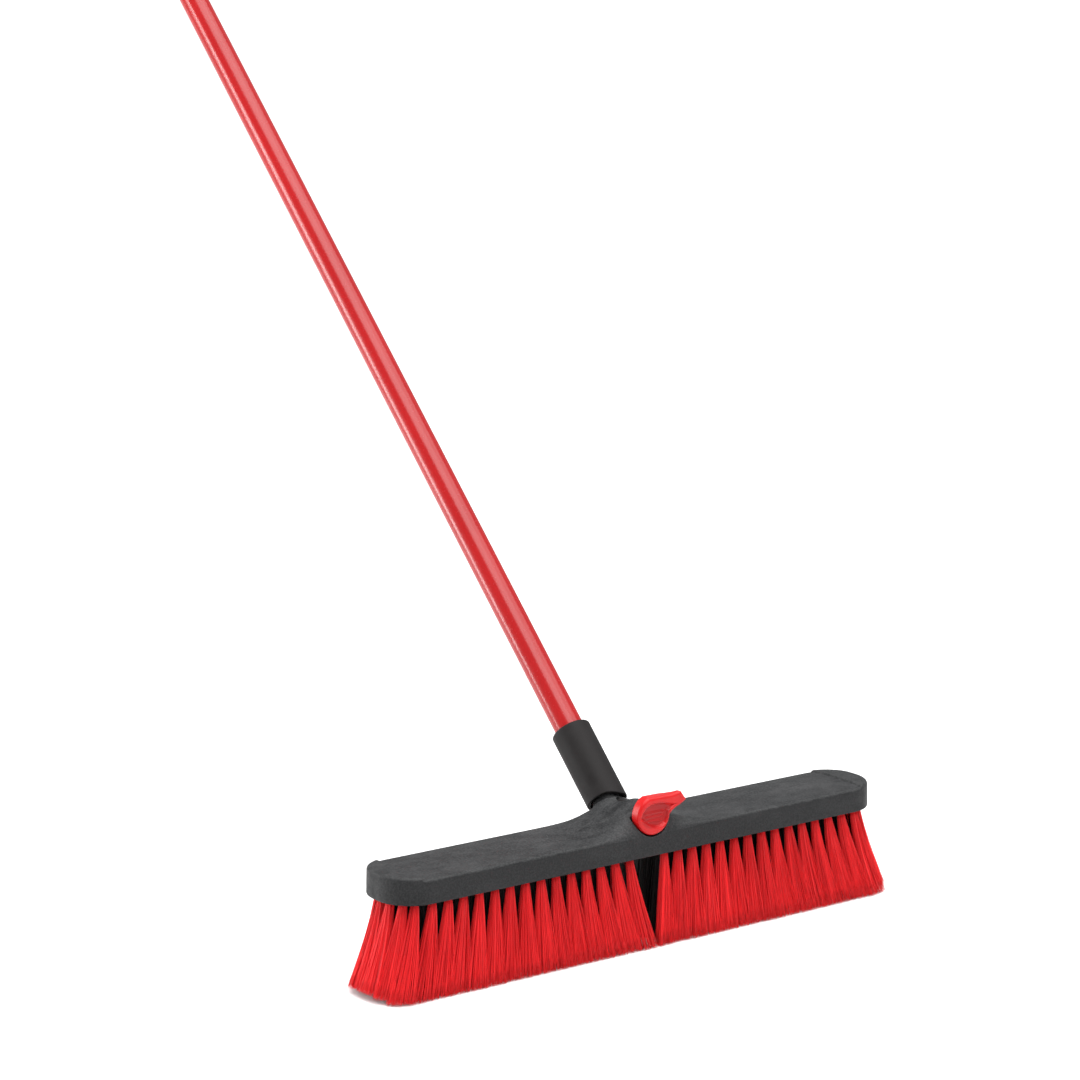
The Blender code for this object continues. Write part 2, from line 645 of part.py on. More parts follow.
def make_cap(parts, cutters, material):
    """A plug in the tube's upper end, a collar on it, and a flat tongue with a hanging hole."""
    inner = TUBE_RADIUS - TUBE_WALL
    collar = TUBE_RADIUS + 1.0 * MM
    plug_length = 30 * MM
    profile = [(0, HANDLE_END)]
    profile += [(collar * math.sin(a), HANDLE_END - collar * (1 - math.cos(a)))
                for a in (math.radians(d) for d in (22.5, 45, 67.5, 90))]
    profile += [
        (collar, CAP_START),
        (inner - GAP, CAP_START),
        (inner - GAP, CAP_START - plug_length + 1.5 * MM),
        (inner - GAP - 1.5 * MM, CAP_START - plug_length),
        (0, CAP_START - plug_length),
    ]
    cap = turned("hang_cap", profile, parts, material, on_handle())

    tongue_start = CAP_START + 12 * MM
    tongue_half = 4.5 * MM
    past = collar + OVERRUN
    for side in (-1, 1):
        low = (min(side * tongue_half, side * past), -past, tongue_start)
        high = (max(side * tongue_half, side * past), past, HANDLE_END + OVERRUN)
        name = "cap_flat_right" if side > 0 else "cap_flat_left"
        cutter = as_helper(new_object(name, box_mesh(name, low, high), cutters, place=on_handle()))
        boolean(cap, cutter, "DIFFERENCE")

    hole_radius = 4.5 * MM
    hole = cylinder_mesh("cap_hole", hole_radius, 2 * past, sides=16)
    hole_center = HANDLE_FOOT + HANDLE_DIRECTION * (HANDLE_END - 14 * MM)
    hole_at = along(hole_center - Vector((past, 0, 0)), Vector((1, 0, 0)))
    boolean(cap, as_helper(new_object("cap_hole", hole, cutters, place=hole_at)), "DIFFERENCE")


# ---------------------------------------------------------------- the broom
def main():
    clear_scene()
    parts = new_collection("push_broom")
    cutters = new_collection("push_broom_helpers")
    materials = {
        "block_grey": new_material("block_grey", (0.085, 0.085, 0.088), 0.62),
        "bristle_red": new_material("bristle_red", (0.72, 0.02, 0.03), 0.5),
        "bristle_black": new_material("bristle_black", (0.012, 0.011, 0.011), 0.55),
        "lever_red": new_material("lever_red", (0.66, 0.02, 0.025), 0.35),
        "tube_red": new_material("tube_red", (0.5, 0.02, 0.025), 0.25),
        "connector_black": new_material("connector_black", (0.035, 0.033, 0.033), 0.55),
        "cap_black": new_material("cap_black", (0.03, 0.03, 0.03), 0.5),
        "shaft_black": new_material("shaft_black", (0.02, 0.02, 0.02), 0.4),
        "steel": new_material("steel", (0.55, 0.55, 0.56), 0.3, metallic=1.0),
    }
    make_block(parts, cutters, materials["block_grey"])
    make_bristles(parts, materials["bristle_red"], materials["bristle_black"])
    make_lever(parts, cutters, materials)
    make_handle(parts, cutters, materials)
    move_origin_to_grip([*parts.objects, *cutters.objects])


def move_origin_to_grip(objects):
    floor_point = bpy.data.objects.new("middle_of_the_tips", None)
    bpy.context.scene.collection.objects.link(floor_point)
    floor_point.location = -GRIP
    for obj in objects:
        obj.parent = floor_point


main()
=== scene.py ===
"""Looks of the push broom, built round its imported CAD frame.

Shapes are worked out in millimetres from the point under the middle of the block, on the plane of
the bristle tips, and stored in metres in the row frame. The moulded pieces come from distance
fields, which give every edge its real rounding, and the bristles are single filaments.
"""

import math

import bpy
import numpy as np
from mathutils import Matrix, Vector


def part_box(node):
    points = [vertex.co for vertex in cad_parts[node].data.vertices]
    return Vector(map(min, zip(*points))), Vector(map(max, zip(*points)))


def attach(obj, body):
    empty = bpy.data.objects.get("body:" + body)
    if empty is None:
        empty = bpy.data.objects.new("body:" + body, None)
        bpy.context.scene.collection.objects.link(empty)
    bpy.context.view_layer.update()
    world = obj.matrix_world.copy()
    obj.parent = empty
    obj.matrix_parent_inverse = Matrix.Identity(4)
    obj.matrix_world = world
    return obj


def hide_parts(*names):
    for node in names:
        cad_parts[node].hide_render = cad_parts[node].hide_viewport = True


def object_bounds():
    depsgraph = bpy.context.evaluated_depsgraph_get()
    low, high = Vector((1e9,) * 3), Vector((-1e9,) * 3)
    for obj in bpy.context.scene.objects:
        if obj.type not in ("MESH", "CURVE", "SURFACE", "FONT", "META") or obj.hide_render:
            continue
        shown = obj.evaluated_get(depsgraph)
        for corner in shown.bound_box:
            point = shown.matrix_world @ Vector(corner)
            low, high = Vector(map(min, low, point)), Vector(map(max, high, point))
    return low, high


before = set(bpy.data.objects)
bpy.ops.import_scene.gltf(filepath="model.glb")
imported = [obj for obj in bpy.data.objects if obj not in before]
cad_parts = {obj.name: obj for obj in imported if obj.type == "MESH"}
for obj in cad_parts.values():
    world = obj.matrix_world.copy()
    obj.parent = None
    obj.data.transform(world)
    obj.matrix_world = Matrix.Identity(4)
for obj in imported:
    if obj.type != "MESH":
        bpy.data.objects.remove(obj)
cad_low, cad_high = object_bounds()

MM = 0.001
GAP = 0.35                             # between pieces that slide or sit in each other

# ---------------------------------------------------------------- the block, in mm
block_low, block_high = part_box("brush_block")
TRIM = (block_low.z - cad_low.z) / MM  # height of the block's underside over the bristle tips
BLOCK_HALF = block_high.x / MM
HALF_WIDTH = 31.75
TO_ROW = Matrix.Translation((0, block_low.y + HALF_WIDTH * MM, cad_low.z))
BLOCK_CORNER = 28.0
BLOCK_TOP = TRIM + 18.4                # along the long edges
BLOCK_CROWN = 0.9
WALL_DRAFT = 0.02
TOP_ROUNDING, BOTTOM_ROUNDING = 2.6, 1.5
END_RISE, END_FOOT, END_STEP = 1.6, 208.0, 1.1  # the two ends stand a little proud
HUMP_RISE, HUMP_HALF_LENGTH, HUMP_CROWN = 20.0, 68.0, 8.0
HUMP_HALF_WIDTH, HUMP_SHOULDER = 31.0, 17.0
HUMP_DROP, HUMP_DROP_REACH = 4.6, 28.0  # its crest is lower behind, beside the sleeve
SOFT_RIM = 0.8

# ---------------------------------------------------------------- the handle, in mm along its axis
AXIS_FOOT = np.array([0.0, -3.0, TRIM])
AXIS_DIRECTION = np.array([0.0, math.sqrt(0.5), math.sqrt(0.5)])
NECK_BASE, NECK_END, NECK_RADIUS = 14.0, 52.5, 12.5
NECK_FILLET = 6.0
BORE_END = 18.4
SLEEVE_START, SLEEVE_END, SLEEVE_RADIUS = 43.0, 106.8, 15.6
RIM_SLANT = 4.4                        # the sleeve's lower rim is lower on the right
GROOVE_HALF, GROOVE_INSIDE, GROOVE_OUTSIDE = 3.0, 1.1, 1.0
TUBE_RADIUS, TUBE_INNER = 11.4, 10.2
TUBE_START, TUBE_END = 60.85, 1520.65
CAP_START, HANDLE_END = 1521.0, 1567.0
PLUG_RADIUS, PLUG_END = 9.0, 98.0
PIN_PLACE, PIN_HOLE = 82.425, 2.35

# ---------------------------------------------------------------- the lever, in mm
LEVER_Z = TRIM + 31.2
LEVER_RADIUS = 15.2
LEVER_FRONT, LEVER_BACK = -31.75, -22.75
SEAT_Y, SEAT_GAP = -21.35, 1.1
SHAFT_HOLE = 4.85
RETAINER_X, RETAINER_HOLE = 5.15, 1.85

# ---------------------------------------------------------------- the tufts, in mm
TUFT_PITCH, TUFT_FIRST = 13.6, 15.2
TUFT_INSET = 8.25
ROW_SPACING = 11.75
OUTER_TUFTS = [TUFT_FIRST + i * TUFT_PITCH for i in range(15)]
MIDDLE_TUFTS = [TUFT_FIRST + i * TUFT_PITCH for i in range(14)]
STAGGERED_TUFTS = [TUFT_FIRST + (i + 0.5) * TUFT_PITCH for i in range(14)]
INNER_ROWS = (
    ("front", -ROW_SPACING, STAGGERED_TUFTS),
    ("middle", 0.0, MIDDLE_TUFTS),
    ("rear", ROW_SPACING, STAGGERED_TUFTS),
)
END_TUFTS = [-15.6, -5.4, 5.4, 15.6]
SIDES = ((-1, "left"), (1, "right"))

ROOT_INNER = TUFT_FIRST - 4.0
ROOT_OUTER = BLOCK_HALF - TUFT_INSET + 3.0
ROOT_SUNK = 3.0                        # how far filaments start above the block's underside
TIP_SPLIT = 3.5                        # where the two halves' tips meet
TIP_INNER, TIP_REACH = 0.35, 244.5
TIP_SPREAD = 1.28                      # the tips' width over the roots' width
LIFT_START, TIP_LIFT = 207.0, 6.5      # the splayed ends are off the floor
TIP_HALF = TUFT_PITCH * TIP_REACH / (ROOT_OUTER - ROOT_INNER) / 2

STATIONS = np.array([0.0, 0.12, 0.3, 0.5, 0.68, 0.85, 1.0])  # along a filament, from root to tip
TAPER = np.interp(STATIONS, [0, 0.8, 1.0], [1, 1, 0.55])
FILAMENT_SIDES = 3
GOLDEN_ANGLE = math.pi * (3 - math.sqrt(5))
OUTER_FILAMENTS = {"count": 210, "thickness": 0.46, "root_radius": 2.2, "opening": 0.9}
END_FILAMENTS = {"count": 260, "thickness": 0.46, "root_radius": 2.4, "opening": 0.85}
INNER_FILAMENTS = {"count": 120, "thickness": 0.6, "root_radius": 3.7, "opening": 0.55}

# ---------------------------------------------------------------- camera and lights, in metres
CAMERA_AZIMUTH, CAMERA_DOWN = math.radians(36.64), math.radians(10.94)
CAMERA_BACK, CAMERA_LEFT, CAMERA_UP = 2.4368, 0.0665, 0.2306
CAMERA_LENS = 107.98
FLOOR_REACH, FLOOR_DROP = 40.0, 0.0005
SOFTBOX_HEIGHT, SOFTBOX_DISTANCE = 2.4, 2.2
SOFTBOXES = (                          # name, where across the tube it shows, width, watts
    ("softbox_right", 0.30, 1.5, 25),
    ("softbox_left", -0.61, 0.5, 66),
)
CEILING_STRENGTH, WORLD_STRENGTH = 3.7, 0.5


# ---------------------------------------------------------------- scene helpers
def add_object(name, mesh, material, matrix=None):
    obj = bpy.data.objects.new(name, mesh)
    bpy.context.scene.collection.objects.link(obj)
    mesh.materials.append(material)
    if matrix is not None:
        mesh.transform(matrix)
    return obj


def stand_for(obj, node, body):
    obj.data.transform(TO_ROW)
    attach(obj, body)
    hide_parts(node)


def mesh_from_lists(name, points, faces):
    """A mesh from lists of points in mm and of faces, shaded flat."""
    mesh = bpy.data.meshes.new(name)
    mesh.from_pydata([(x * MM, y * MM, z * MM) for x, y, z in points], [], faces)
    mesh.update()
    return mesh


def mesh_from_arrays(name, points, *faces):
    """A smooth mesh from points in mm and arrays of faces, each with one number of corners."""
    mesh = bpy.data.meshes.new(name)
    mesh.vertices.add(len(points))
    mesh.vertices.foreach_set("co", (np.asarray(points) * MM).astype(np.float32).ravel())
    corners = np.concatenate([array.ravel() for array in faces]).astype(np.int32)
    mesh.loops.add(len(corners))
    mesh.loops.foreach_set("vertex_index", corners)
    ends = np.cumsum(np.concatenate([np.full(len(array), array.shape[1]) for array in faces]))
    mesh.polygons.add(len(ends))
    mesh.polygons.foreach_set("loop_start", np.concatenate([[0], ends[:-1]]).astype(np.int32))
    mesh.update(calc_edges=True)
    mesh.validate()
    mesh.shade_smooth()
    return mesh


def smooth_up_to(obj, degrees):
    obj.data.shade_smooth()
    obj.data.set_sharp_from_angle(angle=math.radians(degrees))


def cut_out(obj, cutters):
    """Take the cutters' meshes out of the object, and throw them away."""
    for mesh in cutters:
        cutter = bpy.data.objects.new(mesh.name, mesh)
        bpy.context.scene.collection.objects.link(cutter)
        cut = obj.modifiers.new(mesh.name, "BOOLEAN")
        cut.operation, cut.solver, cut.object = "DIFFERENCE", "MANIFOLD", cutter
    bpy.context.view_layer.update()
    result = bpy.data.meshes.new_from_object(obj.evaluated_get(bpy.context.evaluated_depsgraph_get()))
    uncut = obj.data
    obj.modifiers.clear()
    obj.data = result
    result.name = obj.name
    for mesh in [uncut, *cutters]:
        bpy.data.meshes.remove(mesh)


def along(start, direction):
    """A placing whose local Z runs along direction and whose local X is the block's."""
    z_axis = Vector(direction).normalized()
    x_axis = Vector((1, 0, 0))
    y_axis = z_axis.cross(x_axis).normalized()
    rotation = Matrix((x_axis, y_axis, z_axis)).transposed().to_4x4()
    return Matrix.Translation(Vector(start) * MM) @ rotation


HANDLE_PLACE = along(AXIS_FOOT, AXIS_DIRECTION)


def lathe_mesh(name, profile, sides):
    """(radius, height) points in mm, upwards on the outside, turned about local Z.

    Points on the axis are shared.
    """
    points, faces, rings = [], [], []
    for radius, height in profile:
        if radius < 1e-6:
            rings.append([len(points)] * sides)
            points.append((0, 0, height))
        else:
            rings.append(list(range(len(points), len(points) + sides)))
            angles = np.arange(sides) * math.tau / sides
            points += [(radius * math.cos(a), radius * math.sin(a), height) for a in angles]
    for below, above in zip(rings, rings[1:]):
        for i in range(sides):
            j = (i + 1) % sides
            face = [below[i], below[j], above[j], above[i]]
            face = [v for k, v in enumerate(face) if v != face[k - 1]]
            if len(face) > 2:
                faces.append(face)
    return mesh_from_lists(name, points, faces)


def rod_mesh(name, radius, start, end, sides, matrix):
    mesh = lathe_mesh(name, [(0, start), (radius, start), (radius, end), (0, end)], sides)
    mesh.transform(matrix)
    return mesh


def ring_mesh(name, profile, sides):
    """A closed profile, none of it on the axis, turned about local Z."""
    angles = np.arange(sides) * math.tau / sides
    radius, height = np.array(profile).T
    points = np.stack([
        radius[None, :] * np.cos(angles)[:, None],
        radius[None, :] * np.sin(angles)[:, None],
        np.broadcast_to(height, (sides, len(height))),
    ], axis=2).reshape(-1, 3)
    n = len(profile)
    i, j = np.meshgrid(np.arange(sides), np.arange(n), indexing="ij")
    next_i, next_j = (i + 1) % sides, (j + 1) % n
    quads = np.stack([i * n + j, next_i * n + j, next_i * n + next_j, i * n + next_j], axis=2)
    return mesh_from_arrays(name, points, quads.reshape(-1, 4))


# ---------------------------------------------------------------- distance fields
def smoothstep(low, high, value):
    t = np.clip((value - low) / (high - low), 0, 1)
    return t * t * (3 - 2 * t)


def soft_union(a, b, size):
    h = np.clip(0.5 + 0.5 * (b - a) / size, 0, 1)
    return b + (a - b) * h - size * h * (1 - h)


def soft_cut(a, b, size):
    """a without b, with the rim softened."""
    return -soft_union(-a, b, size)


def corner_distance(over_x, over_y):
    """Distance to where both are zero, from how far a point is over each of two edges."""
    outside = np.hypot(np.maximum(over_x, 0), np.maximum(over_y, 0))
    return outside + np.minimum(np.maximum(over_x, over_y), 0)


def round_both(a, b, radius):
    """What is in both a and b, with the edge where they meet rounded."""
    return corner_distance(a + radius, b + radius) - radius


def rounded_rectangle(x, y, half_x, half_y, radius):
    return corner_distance(np.abs(x) - half_x + radius, np.abs(y) - half_y + radius) - radius


def polygon(x, y, points):
    """Signed distance to a polygon, negative inside."""
    nearest = np.full(np.broadcast(x, y).shape, 1e9)
    inside = np.zeros(nearest.shape, bool)
    for (ax, ay), (bx, by) in zip(points, points[1:] + points[:1]):
        ex, ey = bx - ax, by - ay
        t = np.clip(((x - ax) * ex + (y - ay) * ey) / (ex * ex + ey * ey), 0, 1)
        nearest = np.minimum(nearest, (x - ax - t * ex) ** 2 + (y - ay - t * ey) ** 2)
        crosses = (ay > y) != (by > y)
        if ey:
            inside ^= crosses & (x < ax + (y - ay) * ex / ey)
    return np.where(inside, -1, 1) * np.sqrt(nearest)


def surface_net(name, field, xs, ys, zs):
    """The closed surface where field is zero, as quads, with one point in each cell it passes through."""
    grid = np.meshgrid(xs, ys, zs, indexing="ij", sparse=True)
    values = np.broadcast_to(field(*grid), (len(xs), len(ys), len(zs))).astype(np.float64)
    cells = tuple(n - 1 for n in values.shape)
    total, count = np.zeros((*cells, 3)), np.zeros(cells)
    lines = (np.asarray(xs), np.asarray(ys), np.asarray(zs))
    for axis in range(3):
        others = [a for a in range(3) if a != axis]
        for step_a in (0, 1):
            for step_b in (0, 1):
                steps = {axis: 0, others[0]: step_a, others[1]: step_b}
                near = tuple(slice(steps[a], steps[a] + cells[a]) for a in range(3))
                far = tuple(slice(s.start + (a == axis), s.stop + (a == axis)) for a, s in enumerate(near))
                v0, v1 = values[near], values[far]
                where = np.nonzero((v0 < 0) != (v1 < 0))
                t = v0[where] / (v0[where] - v1[where])
                for a in range(3):
                    low = lines[a][where[a] + steps[a]]
                    if a == axis:
                        low = low + t * (lines[a][where[a] + 1] - low)
                    total[(*where, a)] += low
                count[where] += 1
    used = count > 0
    index = np.full(cells, -1)
    index[used] = np.arange(used.sum())
    points = total[used] / count[used][:, None]
    faces = []
    for axis, (a, b) in enumerate(((1, 2), (2, 0), (0, 1))):
        low = [slice(1, -1)] * 3
        low[axis] = slice(0, cells[axis])
        high = list(low)
        high[axis] = slice(1, cells[axis] + 1)
        v0, v1 = values[tuple(low)] < 0, values[tuple(high)] < 0
        for starts, ends, turned_over in ((v0, ~v1, False), (~v0, v1, True)):
            at = np.nonzero(starts & ends)
            corners = []
            for da, db in ((0, 0), (1, 0), (1, 1), (0, 1)):
                place = list(at)
                place[a] = at[a] + da
                place[b] = at[b] + db
                corners.append(index[tuple(place)])
            quad = np.stack(corners, axis=1)
            faces.append(quad[:, ::-1] if turned_over else quad)
    for _ in range(3):
        points = points - onto(field, points)
    return mesh_from_arrays(name, points, np.concatenate(faces))


def onto(field, points, step=0.02, farthest=0.5):
    """How far each point is from the field's zero, as a vector."""
    x, y, z = points.T
    value = field(x, y, z)
    slope = np.stack([
        field(x + step, y, z) - field(x - step, y, z),
        field(x, y + step, z) - field(x, y - step, z),
        field(x, y, z + step) - field(x, y, z - step),
    ], axis=1) / (2 * step)
    move = value[:, None] * slope / np.maximum((slope**2).sum(axis=1), 0.05)[:, None]
    length = np.linalg.norm(move, axis=1)[:, None]
    return move * np.minimum(1, farthest / np.maximum(length, 1e-9))


def spaced(*stretches):
    """Grid lines from (start, end, spacing) stretches that follow each other."""
    lines = []
    for start, end, spacing in stretches:
        count = max(1, round((end - start) / spacing))
        lines.append(np.linspace(start, end, count, endpoint=False))
    return np.concatenate([*lines, [stretches[-1][1]]])


def handle_coordinates(x, y, z):
    """Distance along the handle's axis, and distance from it."""
    dy, dz = y - AXIS_FOOT[1], z - AXIS_FOOT[2]
    return (dy + dz) * math.sqrt(0.5), np.hypot(x, (dy - dz) * math.sqrt(0.5))


# ---------------------------------------------------------------- block
def hump_height(x, y):
    out = np.hypot(x, HUMP_CROWN) - HUMP_CROWN
    full = math.hypot(HUMP_HALF_LENGTH, HUMP_CROWN) - HUMP_CROWN
    lengthways = np.maximum(0, 1 - out / full) ** 2.5
    over = np.maximum(0, np.abs(y) - HUMP_SHOULDER) / (HUMP_HALF_WIDTH - HUMP_SHOULDER)
    drop = HUMP_DROP * smoothstep(-9.0, 8.0, y) * np.exp(-((x / HUMP_DROP_REACH) ** 2))
    return (HUMP_RISE - drop) * lengthways * np.maximum(0, 1 - over**2)


def sleeve_rim(x):
    """Where the sleeve's lower rim is along the handle."""
    return SLEEVE_START - RIM_SLANT * smoothstep(-11.0, 6.5, x)


def block_field(x, y, z):
    wall = rounded_rectangle(x, y, BLOCK_HALF, HALF_WIDTH, BLOCK_CORNER) + WALL_DRAFT * (z - TRIM)
    crown = BLOCK_CROWN * (1 - (y / HALF_WIDTH) ** 2)
    ends = END_RISE * smoothstep(END_FOOT - END_STEP, END_FOOT + END_STEP, np.abs(x))
    top = z - (BLOCK_TOP + crown + ends + hump_height(x, y))
    body = round_both(wall, top, TOP_ROUNDING)
    body = round_both(body, TRIM - z, BOTTOM_ROUNDING)

    distance, radial = handle_coordinates(x, y, z)
    neck = round_both(radial - NECK_RADIUS, distance - NECK_END, SOFT_RIM)
    neck = np.maximum(neck, NECK_BASE - distance)
    body = soft_union(body, neck, NECK_FILLET)

    # the groove that the sleeve's lower rim sits in
    groove = np.maximum(NECK_RADIUS - GROOVE_INSIDE - radial, radial - (SLEEVE_RADIUS + GROOVE_OUTSIDE))
    groove = np.maximum(groove, np.abs(distance - sleeve_rim(x)) - GROOVE_HALF)
    body = soft_cut(body, groove, SOFT_RIM)

    scoop = round_both(np.hypot(x, z - LEVER_Z) - (LEVER_RADIUS + SEAT_GAP), y - SEAT_Y, 0.6)
    return soft_cut(body, scoop, SOFT_RIM)


def make_block(material):
    lengthways = spaced((-230.5, -202, 0.75), (-202, -72, 2.6), (-72, -18, 1.0), (-18, 18, 0.6),
                        (18, 72, 1.0), (72, 202, 2.6), (202, 230.5, 0.75))
    across = spaced((-33.5, -24, 0.55), (-24, 24, 0.95), (24, 46, 0.7))
    upwards = spaced((TRIM - 1.5, TRIM + 3.5, 0.35), (TRIM + 3.5, TRIM + 14, 0.9),
                     (TRIM + 14, TRIM + 22, 0.45), (TRIM + 22, TRIM + 49, 0.7))
    mesh = surface_net("block_body", block_field, lengthways, across, upwards)
    block = add_object("block_body", mesh, material)

    bore, mouth = PLUG_RADIUS + GAP, PLUG_RADIUS + 1.4
    plug_bore = lathe_mesh("plug_bore", [
        (0, BORE_END), (bore, BORE_END), (bore, NECK_END - 0.8),
        (mouth, NECK_END + 0.3), (mouth, NECK_END + 6), (0, NECK_END + 6),
    ], 72)
    plug_bore.transform(HANDLE_PLACE)
    shaft_place = along((0, SEAT_Y, LEVER_Z), (0, 1, 0))
    pin_place = Matrix.Translation((RETAINER_X * MM, 0, TRIM * MM))
    cut_out(block, [
        tuft_holes_mesh(),
        plug_bore,
        rod_mesh("shaft_bore", SHAFT_HOLE, -12, 35.2, 40, shaft_place),
        rod_mesh("pin_hole", RETAINER_HOLE, -5, 34.2, 24, pin_place),
    ])
    smooth_up_to(block, 50)
    stand_for(block, "brush_block", "head")


# ---------------------------------------------------------------- tufts
def inset_y(x):
    """How far off the middle the front and rear outer tufts are."""
    radius = BLOCK_CORNER - TUFT_INSET
    corner_x = BLOCK_HALF - BLOCK_CORNER
    straight = HALF_WIDTH - TUFT_INSET
    if x <= corner_x:
        return straight
    return straight - radius + math.sqrt(radius**2 - (x - corner_x) ** 2)


def inset_x(y):
    """How far off the middle the tufts of the two ends are."""
    radius = BLOCK_CORNER - TUFT_INSET
    corner_y = HALF_WIDTH - BLOCK_CORNER
    return BLOCK_HALF - BLOCK_CORNER + math.sqrt(radius**2 - max(0, abs(y) - corner_y) ** 2)


def outer_row(side, turn):
    """Where the outer tufts of one half are at the front or the rear, a little further out on the left."""
    places = [x if side > 0 else 2.4 + 1.006 * x for x in OUTER_TUFTS]
    return [(side * x, turn * inset_y(x)) for x in places]


def outline_tangent(x, y):
    """The way the block's outline runs beside a tuft."""
    corner_x, corner_y = BLOCK_HALF - BLOCK_CORNER, HALF_WIDTH - BLOCK_CORNER
    out_x = x - min(max(x, -corner_x), corner_x)
    out_y = y - min(max(y, -corner_y), corner_y)
    length = math.hypot(out_x, out_y)
    return -out_y / length, out_x / length


def tuft_holes_mesh():
    """Every tuft hole as one cutter of round pegs with a countersunk mouth."""
    roots = []
    for side, _ in SIDES:
        for pair in zip(outer_row(side, -1), outer_row(side, 1)):
            roots += pair
        roots += [(side * x, 0.0) for x in MIDDLE_TUFTS]
        roots += [(side * x, turn * ROW_SPACING) for x in STAGGERED_TUFTS for turn in (-1, 1)]
        roots += [(side * inset_x(y), y) for y in END_TUFTS]
    peg = lathe_mesh("peg", [(0, -2), (4.1, -2), (3.25, 0.5), (3.1, 11), (0, 11)], 16)
    peg_points = np.array([v.co for v in peg.vertices]) / MM
    peg_faces = [list(face.vertices) for face in peg.polygons]
    bpy.data.meshes.remove(peg)
    points, faces = [], []
    for x, y in roots:
        faces += [[v + len(points) for v in face] for face in peg_faces]
        points += (peg_points + (x, y, TRIM)).tolist()
    return mesh_from_lists("tuft_holes", points, faces)


def tip_of(x, y):
    """Where the bristle rooted at (x, y) ends, before its own scatter, and how high its tip is."""
    share = (abs(x) - ROOT_INNER) / (ROOT_OUTER - ROOT_INNER)
    tip_x = math.copysign(TIP_INNER + share * (TIP_REACH - TIP_INNER), x) + TIP_SPLIT - 2.0 * share
    lift = TIP_LIFT * max(0, (abs(x) - LIFT_START) / (ROOT_OUTER - LIFT_START))
    return tip_x, y * TIP_SPREAD, lift


def tuft_filaments(rng, tuft, count, root_radius, opening):
    """One tuft's filaments as an array (filament, station, xyz), and how light each one is."""
    x, y, lengthways, half_along, half_across = tuft
    across = (-lengthways[1], lengthways[0])

    def spread(u, v, center):
        return np.stack([center[0] + u * lengthways[0] + v * across[0],
                         center[1] + u * lengthways[1] + v * across[1]], axis=1)

    order = np.arange(count)
    radius = np.sqrt((order + 0.5) / count)
    angle = order * GOLDEN_ANGLE + rng.uniform(0, math.tau)
    u = radius * np.cos(angle) + rng.normal(0, 0.03, count)
    v = radius * np.sin(angle) + rng.normal(0, 0.03, count)
    root = spread(root_radius * u, root_radius * v, (x, y))
    tip_x, tip_y, lift = tip_of(x, y)
    lean = rng.normal(0, 0.55, 2)
    # square the disc off, so that neighbouring tufts' tips meet in one fringe
    square = np.maximum(np.maximum(np.abs(u), np.abs(v)) / np.maximum(radius, 1e-6), 0.72)
    leaning = (tip_x + lean[0], tip_y + lean[1] * 0.5)
    tip = spread(u / square * half_along, v / square * half_across, leaning)
    tip += rng.normal(0, 0.45, tip.shape)
    # the two halves' tips crowd up to each other and don't cross
    side = math.copysign(1, x)
    past = side * (tip[:, 0] - TIP_SPLIT)
    tip[:, 0] = TIP_SPLIT + side * np.where(past < 4, 4 * np.exp(np.minimum(0, past - 4) / 6), past)
    # a filament that fans out ends higher
    fan = (np.hypot(*(tip - root).T) / TRIM) ** 2
    tip_height = lift + 1.2 * rng.uniform(0, 1, count) ** 2 + np.minimum(0.8, 0.02 * TRIM * fan)
    bow = rng.normal(0, 0.5, (count, 2))
    curl = rng.normal(0, 0.35, (count, 2))
    tone = np.clip(0.5 + rng.normal(0, 0.22, count) + rng.normal(0, 0.07), 0, 1)

    root_middle, tip_middle = np.array([x, y]), np.array([tip_x, tip_y])
    root_offset, tip_offset = root - root_middle, tip - tip_middle
    start = TRIM + ROOT_SUNK
    points = np.zeros((count, len(STATIONS), 3))
    for k, t in enumerate(STATIONS):
        middle = root_middle + (tip_middle - root_middle) * t**1.35
        offset = root_offset + (tip_offset - root_offset) * t**opening
        points[:, k, :2] = middle + offset + bow * math.sin(math.pi * t) * t + curl * t**3
        points[:, k, 2] = start - (start - tip_height) * t
    return points, tone


def filament_mesh(name, seed, tufts, count, thickness, root_radius, opening):
    """Tufts of count filaments each.

    A tuft is given as x, y, the direction of its row, and the half length and half width of its tips.
    """
    rng = np.random.default_rng(seed)
    grown = [tuft_filaments(rng, tuft, count, root_radius, opening) for tuft in tufts]
    lines = np.concatenate([points for points, _ in grown])
    tone = np.concatenate([tone for _, tone in grown])
    n = len(lines)
    turns = np.arange(FILAMENT_SIDES)[None, :] * math.tau / FILAMENT_SIDES
    ring = (rng.uniform(0, math.tau, n)[:, None] + turns)[:, None, :]
    radius = (thickness / 2 * TAPER)[None, :, None]
    points = np.repeat(lines[:, :, None, :], FILAMENT_SIDES, axis=2)
    points[..., 0] += radius * np.cos(ring)
    points[..., 1] += radius * np.sin(ring)

    quads = []
    for k in range(len(STATIONS) - 1):
        above, below = k * FILAMENT_SIDES, (k + 1) * FILAMENT_SIDES
        for s in range(FILAMENT_SIDES):
            s2 = (s + 1) % FILAMENT_SIDES
            quads.append((above + s, below + s, below + s2, above + s2))
    per = len(STATIONS) * FILAMENT_SIDES
    first = np.arange(n)[:, None] * per
    caps = np.concatenate([first + (per - 1, per - 2, per - 3), first + (0, 1, 2)])
    quads = (first[:, None] + np.array(quads)[None]).reshape(-1, 4)
    mesh = mesh_from_arrays(name, points.reshape(-1, 3), quads, caps)
    # painted light and shade: each filament's own tone is painted lighter towards its tip and darker at the
    # crowded roots
    tones_with_painted_light = np.clip(tone[:, None] - 0.22 + 0.44 * STATIONS[None, :], 0, 1)
    values = np.repeat(tones_with_painted_light.ravel(), FILAMENT_SIDES).astype(np.float32)
    mesh.attributes.new("tone", "FLOAT", "POINT").data.foreach_set("value", values)
    return mesh


